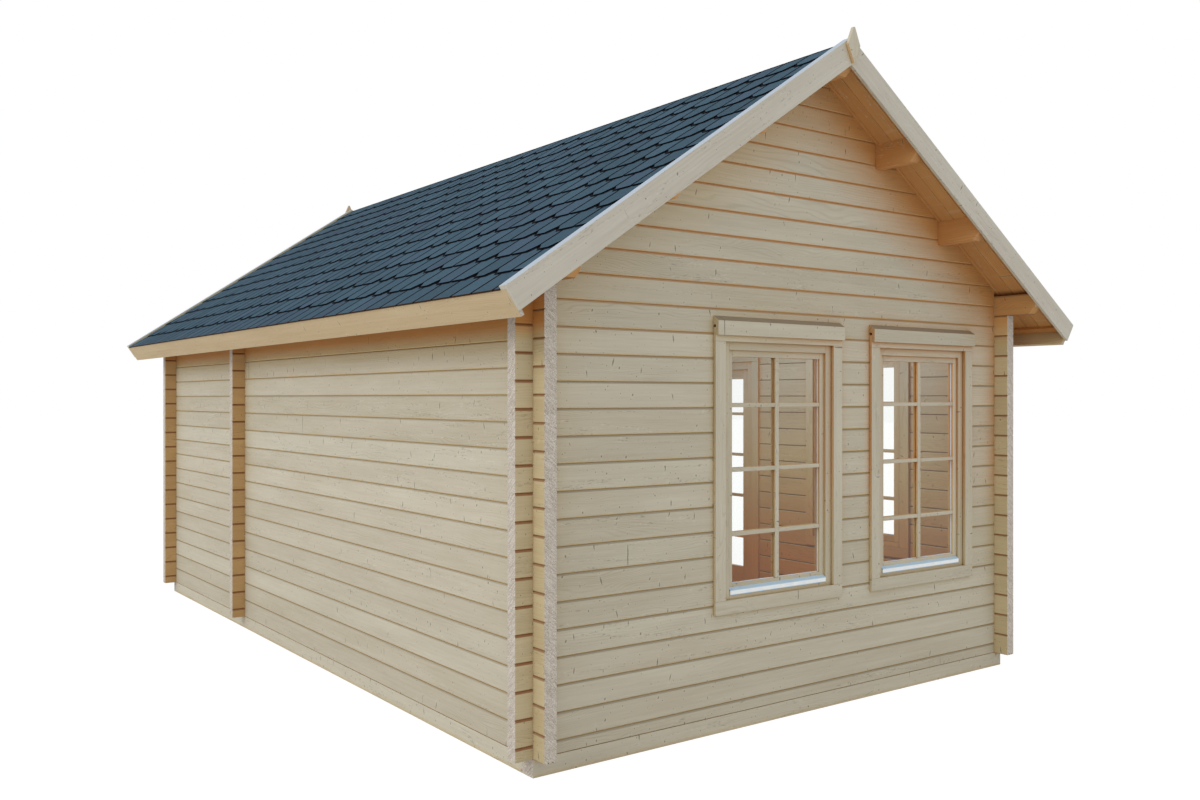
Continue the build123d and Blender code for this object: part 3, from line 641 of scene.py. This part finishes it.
def ring_members(pile, wall, centre, half, low, high, width, depth, rng, bottom=None):
    """Stiles at full height with rails between them; the bottom rail can have its own width."""
    bottom = width if bottom is None else bottom
    for side in (-1, 1):
        u = sorted((centre + side * half, centre + side * (half - width)))
        wall_board(pile, wall, u, (low, high), depth, rng, upright=True)
    u = (centre - half + width + JOINT, centre + half - width - JOINT)
    wall_board(pile, wall, u, (high - width, high), depth, rng)
    if bottom:
        wall_board(pile, wall, u, (low, low + bottom), depth, rng)


# Half widths of the glazing bars: the upright one and the level ones
POST_HALF, BAR_HALF = 0.015, 0.012

# Section of a weather board as (out, up) from the top of the casing under it
HEAD_SECTION = ((0, 0.014), (0.020, 0.014), (0.020, -0.042), (0.042, -0.042), (0.042, 0.036), (0, 0.064))


def glazing_bars(pile, wall, centre, z, heights, pane, thick, rng):
    """Bars on both faces of a pane: an upright one in the middle, and level ones beside it."""
    post = (centre - POST_HALF, centre + POST_HALF)
    for depth in ((pane[1], pane[1] + thick), (pane[0] - thick, pane[0])):
        wall_board(pile, wall, post, z, depth, rng, upright=True)
        for height in heights:
            for u in ((centre - PANE_HALF, post[0]), (post[1], centre + PANE_HALF)):
                wall_board(pile, wall, u, (height - BAR_HALF, height + BAR_HALF), depth, rng)


def head_board(pile, wall, centre, half, top, rng):
    """Weather board over a casing, with its rebate and sloped top."""
    origin, ex, out = WALLS[wall]
    outline = [origin + ex * (centre - half) + out * d + UP * (top + z) for d, z in HEAD_SECTION]
    add_prism(pile, outline, ex * 2 * half, ex, rng)


# Windows: distances past the pane's edge, and depths from the wall's face
WINDOW_CASING, WINDOW_FRAME, SASH = 0.081, 0.101, 0.046
FRAME_FACE, WINDOW_STEP, FRAME_BACK = -0.003, -0.018, -LOG + JOINT
FACE_WIDTH, BACK_WIDTH = 0.065, 0.053
SASH_DEPTH, WINDOW_PANE = (-0.0583, -0.0183), (-0.0403, -0.0363)
SEAL_DEPTH = (WINDOW_PANE[1], WINDOW_PANE[1] + SEAL)
WINDOW_BARS, WINDOW_BAR = (1.074, 1.430, 1.789), 0.017
rng = random.Random(7)
outer, inner, heads, frames, sashes, bars, seals = (new_pile() for _ in range(7))
for wall, centre in WINDOWS:
    half, low, high = PANE_HALF + WINDOW_CASING, PANE_LOW - WINDOW_CASING, PANE_HIGH + WINDOW_CASING
    casing(outer, wall, centre, half, low, high, OUTSIDE, rng)
    casing(inner, wall, centre, half, low, high, INSIDE, rng)
    head_board(heads, wall, centre, half + CASING, high + CASING, rng)
    half, low, high = PANE_HALF + WINDOW_FRAME, PANE_LOW - WINDOW_FRAME, PANE_HIGH + WINDOW_FRAME
    ring_members(frames, wall, centre, half, low, high, FACE_WIDTH, (WINDOW_STEP, FRAME_FACE), rng)
    ring_members(frames, wall, centre, half, low, high, BACK_WIDTH, (FRAME_BACK, WINDOW_STEP), rng)
    half, low, high = PANE_HALF + SASH, PANE_LOW - SASH, PANE_HIGH + SASH
    ring_members(sashes, wall, centre, half, low, high, SASH, SASH_DEPTH, rng)
    for side in (-1, 1):
        u = sorted((centre + side * PANE_HALF, centre + side * (PANE_HALF - SEAL)))
        wall_board(seals, wall, u, (PANE_LOW, PANE_HIGH), SEAL_DEPTH, rng, upright=True)
    u = (centre - PANE_HALF, centre + PANE_HALF)
    wall_board(seals, wall, u, (PANE_LOW, PANE_LOW + SEAL), SEAL_DEPTH, rng)
    z = (PANE_LOW, PANE_HIGH)
    glazing_bars(bars, wall, centre, z, WINDOW_BARS, WINDOW_PANE, WINDOW_BAR, rng)
finish_pile(outer, "window_casings_outside", board_wood, nodes=["window_outer_casings"])
finish_pile(inner, "window_casings_inside", board_wood, nodes=["window_inner_casings"])
finish_pile(heads, "window_weather_boards", head_wood, nodes=["window_head_boards"])
finish_pile(frames, "window_frame_boards", board_wood, nodes=["window_frames"])
finish_pile(sashes, "window_sash_boards", board_wood, nodes=["window_sashes"])
finish_pile(bars, "window_glazing_bars", board_wood, bevel=0.003)
finish_pile(seals, "window_glass_seals", seal, bevel=0.0005)

# Door: casings, frame and sill on the cabin, leaf and bars on the door
DOOR_CASING, DOOR_FRAME, SILL_TOP = 0.052, 0.072, 0.130
DOOR_STEP, LEAF_DEPTH, DOOR_PANE = -0.055, (-0.048, -0.003), (-0.0275, -0.0235)
STILE, BOTTOM_RAIL, DOOR_BACK_WIDTH = 0.095, 0.225, 0.085
DOOR_BARS, DOOR_BAR = (0.626, 0.981, 1.335, 1.690), 0.0185
outer, inner, heads, frames, sill, leaf, bars = (new_pile() for _ in range(7))
half, high = DOOR_HALF + DOOR_CASING, DOOR_TOP + DOOR_CASING
casing(outer, "right", DOOR_Y, half, BASE, high, OUTSIDE, rng, foot=True)
casing(inner, "right", DOOR_Y, half, FLOOR_TOP, high, INSIDE, rng, foot=True)
head_board(heads, "right", DOOR_Y, half + CASING, high + CASING, rng)
half, high = DOOR_HALF + DOOR_FRAME, DOOR_TOP + DOOR_FRAME
layers = ((FACE_WIDTH, (DOOR_STEP, FRAME_FACE)), (DOOR_BACK_WIDTH, (FRAME_BACK, DOOR_STEP)))
for width, depth in layers:
    ring_members(frames, "right", DOOR_Y, half, SILL_TOP + JOINT, high, width, depth, rng, bottom=0)
u = (DOOR_Y - half, DOOR_Y + half)
wall_board(sill, "right", u, (BASE, SILL_TOP), (FRAME_BACK, FRAME_FACE), rng)
ring_members(leaf, "right", DOOR_Y, DOOR_HALF, DOOR_LOW, DOOR_TOP, STILE, LEAF_DEPTH, rng, BOTTOM_RAIL)
z = (DOOR_LOW + BOTTOM_RAIL, DOOR_TOP - STILE)
glazing_bars(bars, "right", DOOR_Y, z, DOOR_BARS, DOOR_PANE, DOOR_BAR, rng)
finish_pile(outer, "door_casing_outside", board_wood, nodes=["door_outer_casing"])
finish_pile(inner, "door_casing_inside", board_wood, nodes=["door_inner_casing"])
finish_pile(heads, "door_weather_board", head_wood, nodes=["door_head_board"])
finish_pile(frames, "door_frame_boards", board_wood, nodes=["door_frame"])
finish_pile(sill, "door_sill_board", board_wood, nodes=["door_sill"])
finish_pile(leaf, "door_leaf_boards", board_wood, body="door", nodes=["door_leaf"])
finish_pile(bars, "door_glazing_bars", board_wood, body="door", bevel=0.003)

# Inner doorway
lining, trim = new_pile(), new_pile()
half, through = DOORWAY_HALF + BOARD, (-LOG, 0)
for u in ((-half, -DOORWAY_HALF), (DOORWAY_HALF, half)):
    z = (FLOOR_TOP + JOINT, DOORWAY_TOP - JOINT)
    wall_board(lining, "partition_front", u, z, through, rng, upright=True)
for z in ((DOORWAY_TOP, DOORWAY_TOP + BOARD), (BASE, FLOOR_TOP)):
    wall_board(lining, "partition_front", (-half, half), z, through, rng)
for wall in ("partition_front", "partition_back"):
    casing(trim, wall, 0, DOORWAY_HALF, FLOOR_TOP, DOORWAY_TOP, OUTSIDE, rng, foot=True)
finish_pile(lining, "doorway_lining_boards", board_wood, nodes=["doorway_lining"])
finish_pile(trim, "doorway_casing_boards", board_wood, nodes=["doorway_casings"])

# Floors: boards along the cabin
FLOOR_HALF, FLOOR_BOARDS = HALF_W - LOG - FLOOR_GAP, 38


def floor_boards(name, node, y_low, y_high):
    """Floor of one room, in boards with fine joints."""
    pile = new_pile()
    width = 2 * FLOOR_HALF / FLOOR_BOARDS
    for k in range(FLOOR_BOARDS):
        x = -FLOOR_HALF + k * width
        left, right = x + JOINT, x + width - JOINT
        places = ((left, BASE), (right, BASE), (right, FLOOR_TOP), (left, FLOOR_TOP))
        add_prism(pile, [(x, y_low, z) for x, z in places], (0, y_high - y_low, 0), Y_WAY, rng)
    finish_pile(pile, name, floor_wood, nodes=[node])


room_end = HALF_L - LOG - FLOOR_GAP
floor_boards("front_floor_boards", "front_room_floor", -room_end, PARTITION_Y - FLOOR_GAP)
floor_boards("back_floor_boards", "back_room_floor", PARTITION_Y + LOG + FLOOR_GAP, room_end)


# Roof
def slope_point(side, s, n, y):
    """Point s down a slope, n above the underside of the boards, at y."""
    x = s * math.cos(PITCH) + n * math.sin(PITCH)
    return Vector((side * x, y, RIDGE_UNDER - s * math.sin(PITCH) + n * math.cos(PITCH)))


def slope_reach(x, n):
    """How far down the slope a point at x from the ridge is, n above the underside of the boards."""
    return (x - n * math.sin(PITCH)) / math.cos(PITCH)


def slope_prism(pile, side, y, s_low, s_high, n_low, n_high, rng, along="slope"):
    """Board on a roof slope, cut upright at the ridge when it starts there."""
    starts = [slope_reach(JOINT / 2, n) if s_low is None else s_low for n in (n_low, n_high)]
    places = ((starts[0], n_low), (s_high, n_low), (s_high, n_high), (starts[1], n_high))
    outline = [slope_point(side, s, n, y[0]) for s, n in places]
    down = Vector((side * math.cos(PITCH), 0, -math.sin(PITCH)))
    add_prism(pile, outline, (0, y[1] - y[0], 0), down if along == "slope" else Y_WAY, rng)


PLANKS, EDGE_BATTEN, BARGE_DEPTH = 72, 0.045, 0.130
for name, side in SLOPES:
    pile = new_pile()
    width = 2 * ROOF_END / PLANKS
    for k in range(PLANKS):
        y = -ROOF_END + k * width
        span = (y + PLANK_GAP, y + width - PLANK_GAP)
        slope_prism(pile, side, span, None, EAVES_S - BOARD, 0, BOARD, rng)
    nodes = [f"{name}_roof_boards"]
    finish_pile(pile, f"{name}_roof_planks", orange_board_wood, nodes=nodes, bevel=0.004)

battens = new_pile()
for side in (-1, 1):
    for y in ((-ROOF_END, -ROOF_END + EDGE_BATTEN), (ROOF_END - EDGE_BATTEN, ROOF_END)):
        slope_prism(battens, side, y, None, EAVES_S, BOARD, ROOF_TOP, rng)
finish_pile(battens, "roof_edge_battens", edge_wood, nodes=["edge_battens"])
for name, low in (("front", -ROOF_END - BOARD), ("back", ROOF_END)):
    pile = new_pile()
    for side in (-1, 1):
        slope_prism(pile, side, (low, low + BOARD), None, EAVES_S, ROOF_TOP - BARGE_DEPTH, ROOF_TOP, rng)
    finish_pile(pile, f"{name}_barges", edge_wood, nodes=[f"{name}_barge_boards"])

# Finials: a kite with a cut-off top, standing on the barge boards where they meet
FINIAL_LOW = RIDGE_UNDER - 0.098
FINIAL = ((0, 0), (0.050, 0.100), (0.006, 0.200), (-0.006, 0.200), (-0.050, 0.100))
peaks = new_pile()
for y in (-ROOF_END - 2 * BOARD, ROOF_END + BOARD):
    add_prism(peaks, [(x, y, FINIAL_LOW + z) for x, z in FINIAL], (0, BOARD, 0), UP, rng)
finish_pile(peaks, "ridge_finials", board_wood, nodes=["finials"])

# Shingles: rows of tabs, some lower corners cut off, each row half a repeat along
EXPOSURE, OVERLAP, TAB, TABS, SLOT, CHAMFER = 0.211, 0.025, 0.1967, 50, 0.024, 0.052
EAVES_ROW, SECOND_ROW, LAST_ROW = EAVES_S + 0.006, 2.500, 0.03
SHINGLE_Y = ROOF_END - 0.046
FIRST_PAIR_Y = -3.165 - 6 * TAB
TAB_LEVELS = ((0.0205, 0.0240), (0.0230, 0.0312))
# Dark pieces of painted shadow, in the slots and below the tabs' edges: their levels and reach
SLOT_SHADOW_LEVELS = ((0.0205, 0.0240), (0.0222, 0.0292))
SHADE_LEVELS = ((0.0205, 0.0230), (0.0222, 0.0252))
SHADE_REACH, SHADE_CHAMFER = 0.008, CHAMFER - 0.024
SHEET_LOW, SHEET_HIGH, STRIP_HIGH = 0.0201, 0.0204, 0.0236
RIDGE_TOP = slope_reach(0.0002, 0.030)
SLOT_SHADOW_SHORT = 0.004


def tab_outline(y_low, y_high, s_low, s_high, left=False, right=False, cut=CHAMFER):
    """Outline of a tab as (y, s), with its lower corners cut where asked."""
    points = [(y_low, s_low), (y_high, s_low)]
    points += [(y_high, s_high - cut), (y_high - cut, s_high)] if right else [(y_high, s_high)]
    points += [(y_low + cut, s_high), (y_low, s_high - cut)] if left else [(y_low, s_high)]
    return points


def clip_outline(points, low, high):
    """Cuts a convex (y, s) outline to the roof's length."""
    for limit, keep in ((low, 1), (high, -1)):
        result = []
        for k, (y, s) in enumerate(points):
            y2, s2 = points[(k + 1) % len(points)]
            inside, inside2 = keep * (y - limit) >= 0, keep * (y2 - limit) >= 0
            if inside:
                result.append((y, s))
            if inside != inside2:
                t = (limit - y) / (y2 - y)
                result.append((limit, s + t * (s2 - s)))
        points = result
        if len(points) < 3:
            return []
    return points


def add_tab(pile, side, outline, s_low, s_high, rng, levels=TAB_LEVELS, edge=1.0):
    """Adds what the roof's length leaves of a tab, lifted over the row below, or of a dark piece of
    painted shadow.
    """
    points = clip_outline(outline, -SHINGLE_Y, SHINGLE_Y)
    if not points:
        return
    start = len(pile["verts"])
    offset = Vector((rng.uniform(0, 30), rng.uniform(0, 30), 0))
    for low, high in levels:
        for y, s in points:
            rise = low + (high - low) * (s - s_low) / (s_high - s_low)
            pile["verts"].append(slope_point(side, s, rise, y))
            pile["grain"].append(Vector((y, s, low)) + offset)
    end_cut = 0.0 if levels == TAB_LEVELS else edge
    add_faces(pile, start, len(points), rng.random(), end_cut, edge)


for name, side in SLOPES:
    pile = new_pile()
    bottoms = [EAVES_ROW, SECOND_ROW]
    while bottoms[-1] - EXPOSURE > LAST_ROW:
        bottoms.append(bottoms[-1] - EXPOSURE)
    for row, bottom in enumerate(bottoms):
        top = max(bottom - EXPOSURE - OVERLAP, 0.0) if row else bottom - EXPOSURE
        if row == len(bottoms) - 1:
            top = RIDGE_TOP
        start = FIRST_PAIR_Y + (1.5 * TAB if row % 2 else 0)
        for k in range(TABS):
            y = start + k * TAB
            span = (y + SLOT / 2, y + TAB - SLOT / 2)
            left, right = (k % 3 != 1, k % 3 != 0) if row else (False, False)
            tab = tab_outline(*span, top, bottom, left, right)
            # The eaves row's cut edges are brown painted shade
            add_tab(pile, side, tab, top, bottom, rng, edge=1.0 if row else 0.5)
            # Painted shadow: a thin dark piece sticking out below each tab's lower edge and cut corners
            if row:
                end = bottom + SHADE_REACH
                shade = tab_outline(*span, top, end, left, right, SHADE_CHAMFER)
                add_tab(pile, side, shade, top, end, rng, SHADE_LEVELS)
            # Painted shadow: a dark piece in the slot before each tab
            end = bottom - (CHAMFER if left else SLOT_SHADOW_SHORT)
            slot_shadow = tab_outline(y - SLOT / 2, y + SLOT / 2, top, end)
            add_tab(pile, side, slot_shadow, top, bottom, rng, SLOT_SHADOW_LEVELS)
    finish_pile(pile, f"{name}_shingle_tabs", slate, nodes=[f"{name}_shingles"], bevel=0)

    # The dark sheet below the tabs, and a brown strip of painted shadow along the eaves
    span = (-SHINGLE_Y, SHINGLE_Y)
    sheet, strip = new_pile(), new_pile()
    slope_prism(sheet, side, span, None, EAVES_S, SHEET_LOW, SHEET_HIGH, rng)
    sheet["cut"] = [1.0] * len(sheet["cut"])
    slope_prism(strip, side, span, EAVES_S - 0.030, EAVES_S + 0.003, SHEET_HIGH, STRIP_HIGH, rng, "ridge")
    finish_pile(strip, f"{name}_eaves_shadow_strip", eaves_shade_wood, bevel=0)
    finish_pile(sheet, f"{name}_under_sheet", slate, bevel=0)

# Finishes of the solids that stay
FINISHES = (
    (cross_log_wood, ("front_wall_logs", "back_wall_logs", "partition_logs")),
    (long_log_wood, ("left_wall_logs", "right_wall_logs", "top_logs")),
    (beam_x_wood, ("front_base_beam", "back_base_beam", "partition_base_beam", "floor_joists")),
    (beam_y_wood, ("side_base_beams",)),
    (fascia_wood, ("fascia_boards",)),
    (purlin_wood, ("fascia_battens", "side_purlins", "ridge_purlin")),
    (pane, ("window_glass", "door_glass")),
    (aluminium, ("window_rain_rails",)),
    (zinc, ("door_hinge_pins", "door_hinge_barrels")),
    (steel, ("door_handles",)),
)
for material, nodes in FINISHES:
    for node in nodes:
        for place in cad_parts[node].material_slots:
            place.material = material


# Floor, sky and lamps
def floor_material():
    """White ground that still shows the cabin's shadow."""
    material, g, output = empty_material("ground_white")
    diffuse = g.node("ShaderNodeBsdfDiffuse", (("Color", (0.8, 0.8, 0.8, 1)),))
    glow = g.node("ShaderNodeEmission", (("Color", (1, 1, 1, 1)), ("Strength", 1.1)))
    path = g.node("ShaderNodeLightPath").outputs
    seen = g.times(g.most(path["Is Camera Ray"], path["Is Glossy Ray"]), 0.85)
    mix = g.node("ShaderNodeMixShader", ((0, seen), (1, diffuse.outputs[0]), (2, glow.outputs[0])))
    g.set(output.inputs[0], mix.outputs[0])
    return material


REACH, GROUND_Z = 60.0, -0.0005
corners = [(x * REACH, y * REACH, 0) for x, y in ((-1, -1), (1, -1), (1, 1), (-1, 1))]
ground_mesh = bpy.data.meshes.new("ground")
ground_mesh.from_pydata(corners, [], [[0, 1, 2, 3]])
ground_mesh.materials.append(floor_material())
ground = bpy.data.objects.new("ground", ground_mesh)
ground.location.z = GROUND_Z
bpy.context.collection.objects.link(ground)

world = bpy.data.worlds.new("sky")
bpy.context.scene.world = world
world.use_nodes = True
world.node_tree.nodes.clear()
g = Graph(world.node_tree)
path = g.node("ShaderNodeLightPath").outputs
mirrored = g.most(path["Is Glossy Ray"], path["Is Transmission Ray"])
seen = g.most(path["Is Camera Ray"], mirrored)
strength = g.ramp(seen, 0.0, 1.0, 0.85, 1.0)
sky = g.node("ShaderNodeBackground", (("Color", (1, 1, 1, 1)), ("Strength", strength)))
output = g.node("ShaderNodeOutputWorld")
g.set(output.inputs[0], sky.outputs[0])

sun_data = bpy.data.lights.new("sun", "SUN")
sun_data.energy = 0.8
sun_data.angle = math.radians(25)
sun = bpy.data.objects.new("sun", sun_data)
sun.rotation_euler = Vector((-0.85, -0.05, 0.55)).to_track_quat("Z", "Y").to_euler()
bpy.context.collection.objects.link(sun)

room_lamp_data = bpy.data.lights.new("room_lamp", "POINT")
room_lamp_data.energy = 88
room_lamp_data.color = (0.80, 0.93, 1.0)
room_lamp_data.shadow_soft_size = 0.8
room_lamp = bpy.data.objects.new("room_lamp", room_lamp_data)
room_lamp.location = (0, -1.6, 2.3)
room_lamp.visible_camera = False
room_lamp.visible_glossy = False
bpy.context.collection.objects.link(room_lamp)
